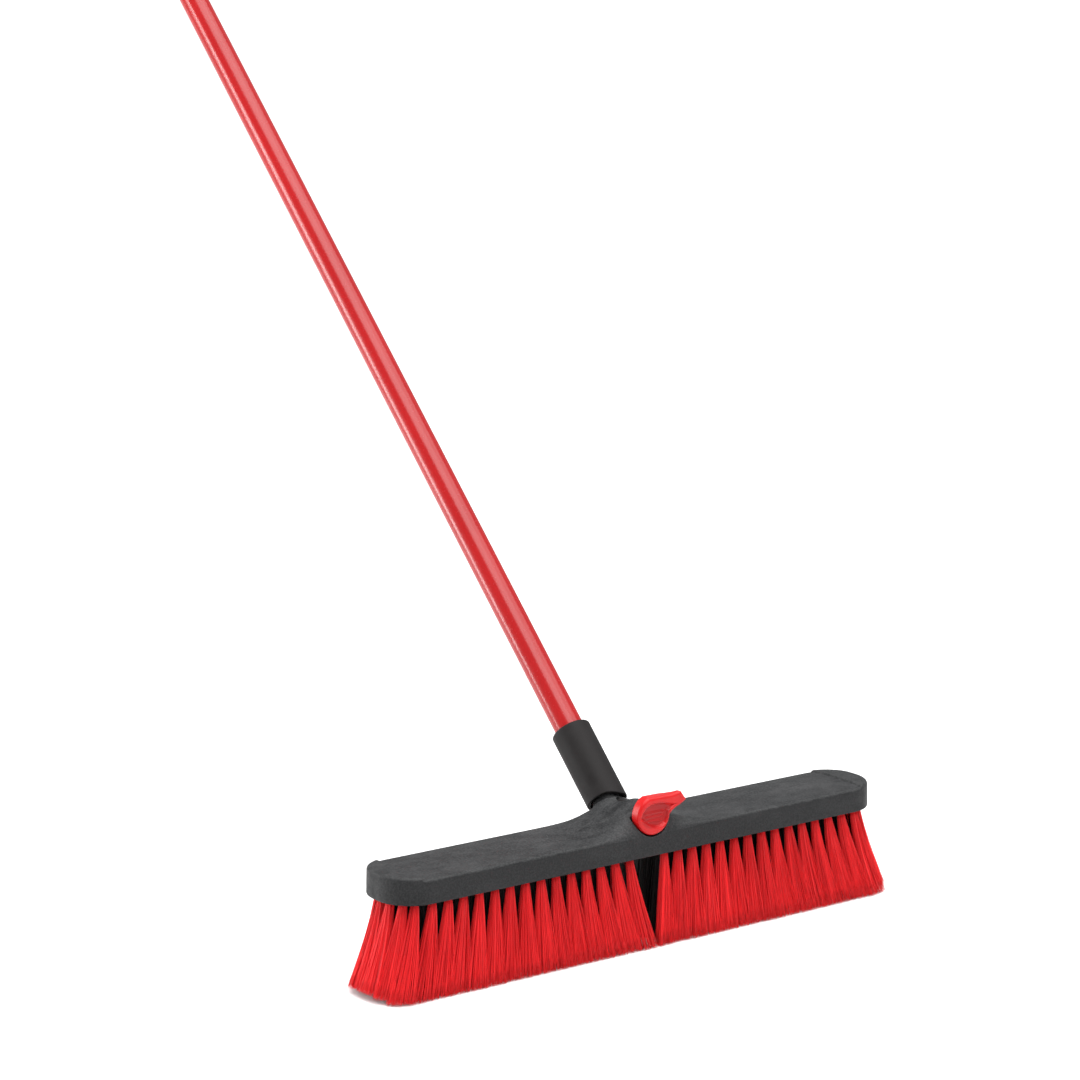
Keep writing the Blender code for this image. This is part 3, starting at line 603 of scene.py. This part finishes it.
def make_bristles(red, black):
    rows = []
    for side, half in SIDES:
        for turn, depth in ((-1, "front"), (1, "rear")):
            tufts = [(x, y, outline_tangent(x, y), TIP_HALF * 1.25, 4.0) for x, y in outer_row(side, turn)]
            rows.append(("outer", f"{depth}_{half}", tufts))
        places = [(side * (inset_x(y) - 1.0), y) for y in END_TUFTS]
        tufts = [(x, y, outline_tangent(x, y), 9.2, 4.0) for x, y in places]
        rows.append(("end", f"end_{half}", tufts))
        for depth, y, row in INNER_ROWS:
            tufts = [(side * x, y, (1.0, 0.0), TIP_HALF * 1.1, 6.0) for x in row]
            rows.append(("inner", f"{depth}_{half}", tufts))
    kinds = {
        "outer": ("red", "outer", red, OUTER_FILAMENTS),
        "end": ("red", "outer", red, END_FILAMENTS),
        "inner": ("black", "inner", black, INNER_FILAMENTS),
    }
    for seed, (kind, place, tufts) in enumerate(rows, start=101):
        color, node, material, shape = kinds[kind]
        name = f"{color}_filaments_{place}"
        obj = add_object(name, filament_mesh(name, seed, tufts, **shape), material)
        stand_for(obj, f"{node}_bristles_{place}", "head")


# ---------------------------------------------------------------- lever
def lever_outline():
    """Seen from the front about the lever's axis, x to the right and z up."""
    flat = 14.2
    start = math.degrees(math.asin(flat / LEVER_RADIUS))
    angles = np.radians(np.linspace(180 - start, 354, 40))
    points = [(LEVER_RADIUS * math.cos(a), LEVER_RADIUS * math.sin(a)) for a in angles]
    points += [(17.6, 0.9), (20.9, 2.7), (25.8, 4.6), (30.3, 7.0)]
    points += [(30.6, 8.2), (26.0, 14.4), (24.2, 14.9), (19.5, 14.2), (13.0, 13.9)]
    return points


LEVER_OUTLINE = lever_outline()
LEVER_RECESS = [
    (-13.0, -0.8), (-11.2, 3.6), (-7.4, 7.4), (-3.0, 9.2), (2.0, 9.3), (9.0, 8.4),
    (16.1, 7.1), (20.6, 6.0), (16.5, 3.8), (12.9, 1.6), (12.4, -2.6), (11.0, -7.4),
    (6.7, -9.7), (1.9, -9.6), (-2.8, -8.2), (-8.2, -4.9),
]
RECESS_DEPTH, RECESS_SLOPE = 2.3, 0.55
THUMB_RIDGES = ((-4.6, 6.2), (-1.4, 7.6), (1.8, 8.2))  # height and half length
RIDGE_MIDDLE, RIDGE_DEPTH, RIDGE_RADIUS = 1.0, 2.55, 0.85
TAB_TAPER, TAB_START = 0.3, 10.0       # the tab gets thinner outwards


def lever_field(x, y, z):
    """Local x to the right, local y up and local z backwards from the front face."""
    body = round_both(polygon(x, y, LEVER_OUTLINE), -z, 2.6)
    back = z - (LEVER_BACK - LEVER_FRONT) + TAB_TAPER * np.maximum(0, x - TAB_START)
    body = round_both(body, back, 0.8)
    dish = round_both(polygon(x, y, LEVER_RECESS) + RECESS_SLOPE * z, z - RECESS_DEPTH, 0.8)
    body = soft_cut(body, dish, 0.9)
    for height, half in THUMB_RIDGES:
        reach = np.maximum(np.abs(x - RIDGE_MIDDLE) - half, 0)
        ridge = np.sqrt(reach**2 + (y - height) ** 2 + (z - RIDGE_DEPTH) ** 2) - RIDGE_RADIUS
        body = soft_union(body, ridge, 0.7)
    return body


def make_lever(material):
    across, upwards = np.arange(-16.2, 31.8, 0.36), np.arange(-16.4, 16.2, 0.36)
    mesh = surface_net("lever_handle", lever_field, across, upwards, np.arange(-1.0, 10.4, 0.3))
    # local z runs back along +Y and local y upwards, which turns the mesh inside out
    place = Matrix(((1, 0, 0, 0), (0, 0, 1, LEVER_FRONT * MM), (0, 1, 0, LEVER_Z * MM), (0, 0, 0, 1)))
    lever = add_object("lever_handle", mesh, material, place)
    lever.data.flip_normals()
    cut_out(lever, [rod_mesh("hex_socket", 5.2, -5.6, 4, 6, along((0, LEVER_BACK, LEVER_Z), (0, 1, 0)))])
    smooth_up_to(lever, 55)
    stand_for(lever, "lock_lever", "lever")


# ---------------------------------------------------------------- handle
def sleeve_field(x, y, z):
    """Local z along the handle from its foot, local x the block's."""
    radial = np.hypot(x, y)
    body = round_both(radial - SLEEVE_RADIUS, z - SLEEVE_END, 1.9)
    body = round_both(body, (sleeve_rim(x) - z) * 0.95, 0.6)
    over_neck = round_both(radial - (NECK_RADIUS + 0.4), z - (NECK_END + 1.0), 0.4)
    body = soft_cut(body, over_neck, 0.5)
    tube_seat = round_both(radial - (TUBE_RADIUS + 0.3), TUBE_START - GAP - z, 0.4)
    body = soft_cut(body, tube_seat, 0.5)
    return soft_cut(body, radial - (PLUG_RADIUS + GAP), 0.4)


def cap_field(x, y, z):
    """Local z along the handle from its foot, local x across the flat tongue."""
    radial = np.hypot(x, y)
    collar = TUBE_RADIUS + 1.0
    dome = np.hypot(radial, np.maximum(z - (HANDLE_END - collar), 0)) - collar
    body = round_both(dome, CAP_START - z, 0.7)
    flats = soft_union(np.abs(x) - 4.5, z - (CAP_START + 12.0), 5.0)
    body = round_both(body, flats, 1.1)
    stem = round_both(radial - (TUBE_INNER - GAP), CAP_START - 30 - z, 1.5)
    stem = np.maximum(stem, z - (CAP_START + 3))
    body = soft_union(body, stem, 0.3)
    hang_hole = np.hypot(y, z - (HANDLE_END - 14)) - 4.5
    return soft_cut(body, hang_hole, 1.6)


def connector_pin_hole():
    place = Matrix.Translation((0, 0, PIN_PLACE * MM)) @ Matrix.Rotation(math.pi / 2, 4, "Y")
    return rod_mesh("connector_pin_hole", PIN_HOLE, -14, 14, 24, HANDLE_PLACE @ place)


def tube_profile():
    """Radius and height round the tube's wall, with rings along it to carry the shading."""
    ease, rings = 0.15, 60
    first, length = TUBE_START + 4, TUBE_END - TUBE_START - 8
    return [
        (TUBE_INNER, TUBE_START), (TUBE_RADIUS - ease, TUBE_START), (TUBE_RADIUS, TUBE_START + ease),
        *((TUBE_RADIUS, first + length * i / rings) for i in range(rings + 1)),
        (TUBE_RADIUS, TUBE_END - ease), (TUBE_RADIUS - ease, TUBE_END), (TUBE_INNER, TUBE_END),
    ]


def plug_profile():
    start, inner = BORE_END + GAP, TUBE_INNER - GAP
    return [
        (0, start), (PLUG_RADIUS - 1.5, start),
        (PLUG_RADIUS - 0.4, start + 0.7), (PLUG_RADIUS, start + 1.7),
        (PLUG_RADIUS, TUBE_START - 0.2), (inner, TUBE_START + 0.2),
        (inner, PLUG_END - 2), (inner - GAP, PLUG_END), (0, PLUG_END),
    ]


def make_handle(connector, paint, cap_plastic):
    across = np.arange(-16, 16.4, 0.45)
    mesh = surface_net("sleeve_shell", sleeve_field, across, across, np.arange(37, 108.1, 0.5))
    sleeve = add_object("sleeve_shell", mesh, connector, HANDLE_PLACE)
    stand_for(sleeve, "connector_sleeve", "handle")

    tube = add_object("tube_shell", ring_mesh("tube_shell", tube_profile(), 96), paint, HANDLE_PLACE)
    cut_out(tube, [connector_pin_hole()])
    smooth_up_to(tube, 50)
    stand_for(tube, "handle_tube", "handle")

    plug = add_object("plug_core", lathe_mesh("plug_core", plug_profile(), 72), connector, HANDLE_PLACE)
    cut_out(plug, [connector_pin_hole()])
    smooth_up_to(plug, 30)
    stand_for(plug, "connector_plug", "handle")

    across = np.arange(-13.2, 13.4, 0.45)
    lengthways = np.arange(CAP_START - 31.2, HANDLE_END + 1.2, 0.45)
    mesh = surface_net("cap_shell", cap_field, across, across, lengthways)
    cap = add_object("cap_shell", mesh, cap_plastic, HANDLE_PLACE)
    stand_for(cap, "hang_cap", "handle")


# ---------------------------------------------------------------- materials
class Nodes:
    """A material's node tree, with its shader and short ways to add to it."""

    def __init__(self, name, roughness, specular=0.5, metallic=0.0):
        self.material = bpy.data.materials.new(name)
        self.material.use_nodes = True
        self.tree = self.material.node_tree
        self.shader = self.tree.nodes["Principled BSDF"]
        self.shader.inputs["Roughness"].default_value = roughness
        self.shader.inputs["Specular IOR Level"].default_value = specular
        self.shader.inputs["Metallic"].default_value = metallic
        self.coordinates = self.add("ShaderNodeTexCoord")

    def add(self, kind, **values):
        node = self.tree.nodes.new(kind)
        for key, value in values.items():
            setattr(node, key, value)
        return node

    def link(self, output, socket):
        self.tree.links.new(output, socket)

    def mapping(self, kind="POINT", **values):
        """The object's own coordinates, mapped."""
        mapping = self.add("ShaderNodeMapping", vector_type=kind)
        for key, value in values.items():
            mapping.inputs[key].default_value = value
        self.link(self.coordinates.outputs["Object"], mapping.inputs["Vector"])
        return mapping.outputs["Vector"]

    def noise(self, scale, detail, roughness, stretch=(1, 1, 1)):
        noise = self.add("ShaderNodeTexNoise")
        noise.inputs["Scale"].default_value = scale
        noise.inputs["Detail"].default_value = detail
        noise.inputs["Roughness"].default_value = roughness
        self.link(self.mapping(Scale=stretch), noise.inputs["Vector"])
        return noise.outputs["Fac"]

    def ramp(self, value, *stops):
        """A colour from (position, colour) stops; a grey can be one number."""
        ramp = self.add("ShaderNodeValToRGB")
        while len(ramp.color_ramp.elements) < len(stops):
            ramp.color_ramp.elements.new(0.5)
        for element, (position, color) in zip(ramp.color_ramp.elements, stops):
            element.position = position
            element.color = (*(color if isinstance(color, tuple) else (color,) * 3), 1.0)
        self.link(value, ramp.inputs["Fac"])
        return ramp.outputs["Color"]

    def mix(self, factor, a, b, blend="MIX"):
        mix = self.add("ShaderNodeMix", data_type="RGBA", blend_type=blend)
        if isinstance(factor, (int, float)):
            mix.inputs[0].default_value = factor
        else:
            self.link(factor, mix.inputs[0])
        self.link(a, mix.inputs[6])
        self.link(b, mix.inputs[7])
        return mix.outputs[2]

    def between(self, value, low, high, from_low=0.3, from_high=0.7):
        scale = self.add("ShaderNodeMapRange")
        scale.inputs["From Min"].default_value = from_low
        scale.inputs["From Max"].default_value = from_high
        scale.inputs["To Min"].default_value = low
        scale.inputs["To Max"].default_value = high
        self.link(value, scale.inputs["Value"])
        return scale.outputs["Result"]

    def bump(self, *heights):
        """(height, strength, distance in metres) layers, one over the other."""
        normal = None
        for height, strength, distance in heights:
            bump = self.add("ShaderNodeBump")
            bump.inputs["Strength"].default_value = strength
            bump.inputs["Distance"].default_value = distance
            self.link(height, bump.inputs["Height"])
            if normal is not None:
                self.link(normal, bump.inputs["Normal"])
            normal = bump.outputs["Normal"]
        self.link(normal, self.shader.inputs["Normal"])

    def color(self, output):
        self.link(output, self.shader.inputs["Base Color"])

    def roughness(self, output):
        self.link(output, self.shader.inputs["Roughness"])


def block_material():
    """Moulded recycled plastic: cloudy dark grey with a fine grain, with painted shade that makes its walls
    darker than its top.
    """
    m = Nodes("block_plastic", 0.6, specular=0.26)
    clouds = m.noise(34, 6, 0.62, (0.6, 1, 1))
    patches = m.noise(120, 5, 0.65, (0.7, 1, 1))
    grain = m.noise(760, 3, 0.7)
    base = m.ramp(clouds, (0.38, (0.006, 0.0065, 0.007)), (0.5, (0.014, 0.0145, 0.0155)),
                  (0.62, (0.040, 0.040, 0.041)))
    base = m.mix(0.5, base, m.ramp(patches, (0.38, (0.005, 0.0055, 0.006)), (0.62, (0.044, 0.044, 0.045))))
    base = m.mix(0.3, base, m.ramp(grain, (0.42, (0.003, 0.0035, 0.004)), (0.60, (0.075, 0.075, 0.076))))
    # painted shade: the walls are painted darker than the top, where less light falls on them from above
    facing = m.add("ShaderNodeSeparateXYZ")
    m.link(m.coordinates.outputs["Normal"], facing.inputs[0])
    painted_side_shade = m.ramp(facing.outputs["Z"], (0.15, (0.45, 0.45, 0.46)), (0.8, 1.0))
    m.color(m.mix(1.0, base, painted_side_shade, "MULTIPLY"))
    m.roughness(m.between(patches, 0.48, 0.7, 0.36, 0.64))
    m.bump((patches, 0.35, 0.0010), (grain, 0.6, 0.0004))
    return m.material


def connector_material(name, tone):
    m = Nodes(name, 0.55, specular=0.1)
    clouds = m.noise(60, 4, 0.6)
    grain = m.noise(1600, 2, 0.6)
    dark = tuple(0.78 * c for c in tone)
    light = tuple(1.3 * c for c in tone)
    m.color(m.mix(0.3, m.ramp(clouds, (0.3, dark), (0.7, light)), m.ramp(grain, (0.3, dark), (0.7, light))))
    m.roughness(m.between(clouds, 0.46, 0.64))
    m.bump((grain, 0.3, 0.00015))
    return m.material


def lever_material():
    """Glossy red, with painted shade that darkens the thumb's recess."""
    m = Nodes("lever_plastic", 0.32, specular=0.25)
    clouds = m.noise(70, 3, 0.55)
    grain = m.noise(1500, 2, 0.5)
    body = m.ramp(clouds, (0.3, (0.45, 0.006, 0.007)), (0.7, (0.53, 0.009, 0.010)))
    # painted shade: a darker red for the thumb's recess, where shade falls
    painted_recess_shade = m.ramp(clouds, (0.3, (0.30, 0.003, 0.004)), (0.7, (0.35, 0.004, 0.005)))
    # an oval over the recess, one unit from its middle to its edge
    oval = m.mapping("TEXTURE", Location=TO_ROW @ Vector((0.0015, LEVER_FRONT * MM, LEVER_Z * MM)),
                     Rotation=(0, math.radians(-14), 0), Scale=(0.0145, 1.0, 0.0095))
    reach = m.add("ShaderNodeVectorMath", operation="LENGTH")
    m.link(oval, reach.inputs[0])
    m.color(m.mix(m.between(reach.outputs["Value"], 1.0, 0.0, 0.85, 1.05), body, painted_recess_shade))
    m.roughness(m.between(clouds, 0.27, 0.42))
    m.bump((grain, 0.12, 0.0001))
    m.shader.inputs["Subsurface Weight"].default_value = 0.08
    m.shader.inputs["Subsurface Radius"].default_value = (0.004, 0.001, 0.001)
    return m.material


def tube_material():
    """Powder-coated steel: glossy, with a faint orange peel."""
    m = Nodes("tube_paint", 0.24, specular=0.33)
    clouds = m.noise(12, 3, 0.5, (1, 1, 0.3))
    peel = m.noise(420, 2, 0.45)
    m.color(m.ramp(clouds, (0.3, (0.30, 0.005, 0.006)), (0.7, (0.35, 0.007, 0.008))))
    m.roughness(m.between(peel, 0.2, 0.28))
    m.bump((peel, 0.06, 0.0002))
    return m.material


def filament_material(name, dark, light):
    m = Nodes(name, 0.5, specular=0.25)
    # the tone attribute carries each filament's own tone, with painted light and shade along it that is
    # lighter towards the tip
    tone = m.add("ShaderNodeAttribute", attribute_type="GEOMETRY", attribute_name="tone").outputs["Fac"]
    fleck = m.noise(300, 2, 0.5, (1, 1, 0.15))
    m.color(m.mix(0.25, m.ramp(tone, (0.1, dark), (0.9, light)), m.ramp(fleck, (0.3, dark), (0.7, light))))
    m.roughness(m.between(fleck, 0.42, 0.58))
    return m.material


def steel_material():
    m = Nodes("plated_steel", 0.3, metallic=1.0)
    scratches = m.noise(500, 3, 0.6, (1, 8, 1))
    m.color(m.ramp(scratches, (0.3, (0.50, 0.50, 0.51)), (0.7, (0.62, 0.62, 0.63))))
    m.roughness(m.between(scratches, 0.24, 0.4))
    return m.material


def floor_material():
    m = Nodes("studio_floor", 0.85, specular=0.2)
    m.color(m.ramp(m.noise(1.5, 2, 0.5), (0.3, 0.88), (0.7, 0.90)))
    return m.material


# ---------------------------------------------------------------- camera, light and floor
def add_to_scene(name, data, matrix):
    obj = bpy.data.objects.new(name, data)
    obj.matrix_world = matrix
    bpy.context.scene.collection.objects.link(obj)
    return obj


def make_camera():
    """The photographer's view. Gives the direction it looks in."""
    sideways, ahead = math.sin(CAMERA_AZIMUTH), math.cos(CAMERA_AZIMUTH)
    level, down = math.cos(CAMERA_DOWN), math.sin(CAMERA_DOWN)
    forward = Vector((level * sideways, level * ahead, -down))
    right = Vector((ahead, -sideways, 0))
    up = right.cross(forward)
    place = -CAMERA_BACK * forward - CAMERA_LEFT * right + CAMERA_UP * up + Vector((0, 0, TRIM * MM))
    rotation = Matrix((right, up, -forward)).transposed().to_4x4()
    data = bpy.data.cameras.new("camera")
    data.sensor_width = 36.0
    data.lens = CAMERA_LENS
    data.clip_start, data.clip_end = 0.05, 100.0
    bpy.context.scene.camera = add_to_scene("camera", data, TO_ROW @ Matrix.Translation(place) @ rotation)
    return forward


def mirrored(forward, across):
    """Where a ray along forward goes after it meets the tube.

    across is -1 at the tube's left edge and 1 at its right.
    """
    axis = Vector(AXIS_DIRECTION)
    towards = (-forward - axis * (-forward).dot(axis)).normalized()
    side = forward.cross(axis).normalized()
    normal = towards * math.sqrt(1 - across**2) + side * across
    return (forward - 2 * forward.dot(normal) * normal).normalized()


def make_stage(forward):
    mesh = bpy.data.meshes.new("floor")
    signs = ((-1, -1), (1, -1), (1, 1), (-1, 1))
    corners = [(x * FLOOR_REACH, y * FLOOR_REACH, -FLOOR_DROP) for x, y in signs]
    mesh.from_pydata(corners, [], [(0, 1, 2, 3)])
    floor = add_object("floor", mesh, floor_material(), TO_ROW)

    # the softboxes stand where the tube mirrors them to the camera
    middle = Vector((0, 0.35, 0.4))
    for name, across, width, energy in SOFTBOXES:
        place = middle + mirrored(forward, across) * SOFTBOX_DISTANCE
        light = bpy.data.lights.new(name, "AREA")
        light.shape = "RECTANGLE"
        light.size, light.size_y = width, SOFTBOX_HEIGHT
        light.energy = energy
        turned = (middle - place).to_track_quat("-Z", "Y").to_matrix().to_4x4()
        add_to_scene(name, light, TO_ROW @ Matrix.Translation(place) @ turned)
    sun = bpy.data.lights.new("ceiling", "SUN")
    sun.energy = CEILING_STRENGTH
    sun.angle = math.radians(70)
    add_to_scene("ceiling", sun, Vector((0.15, -0.3, 1.0)).to_track_quat("Z", "Y").to_matrix().to_4x4())

    world = bpy.data.worlds.new("studio")
    world.use_nodes = True
    background = world.node_tree.nodes["Background"]
    background.inputs["Color"].default_value = (0.95, 0.96, 0.97, 1)
    background.inputs["Strength"].default_value = WORLD_STRENGTH
    bpy.context.scene.world = world
    bpy.context.scene.view_settings.view_transform = "Standard"


# ---------------------------------------------------------------- the broom
def main():
    forward = make_camera()
    make_block(block_material())
    make_bristles(
        filament_material("red_filament", (0.62, 0.008, 0.012), (0.95, 0.026, 0.030)),
        filament_material("black_filament", (0.008, 0.007, 0.007), (0.022, 0.019, 0.019)),
    )
    make_lever(lever_material())
    connector = connector_material("connector_plastic", (0.016, 0.0145, 0.0145))
    make_handle(connector, tube_material(), connector_material("cap_plastic", (0.032, 0.032, 0.032)))
    steel = steel_material()
    # the small pieces inside keep the CAD's shape
    for node, material in (("lever_washer", steel), ("shaft_retaining_pin", steel),
                           ("connector_pin", steel), ("lever_shaft", connector)):
        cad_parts[node].data.materials.clear()
        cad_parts[node].data.materials.append(material)
    make_stage(forward)


main()
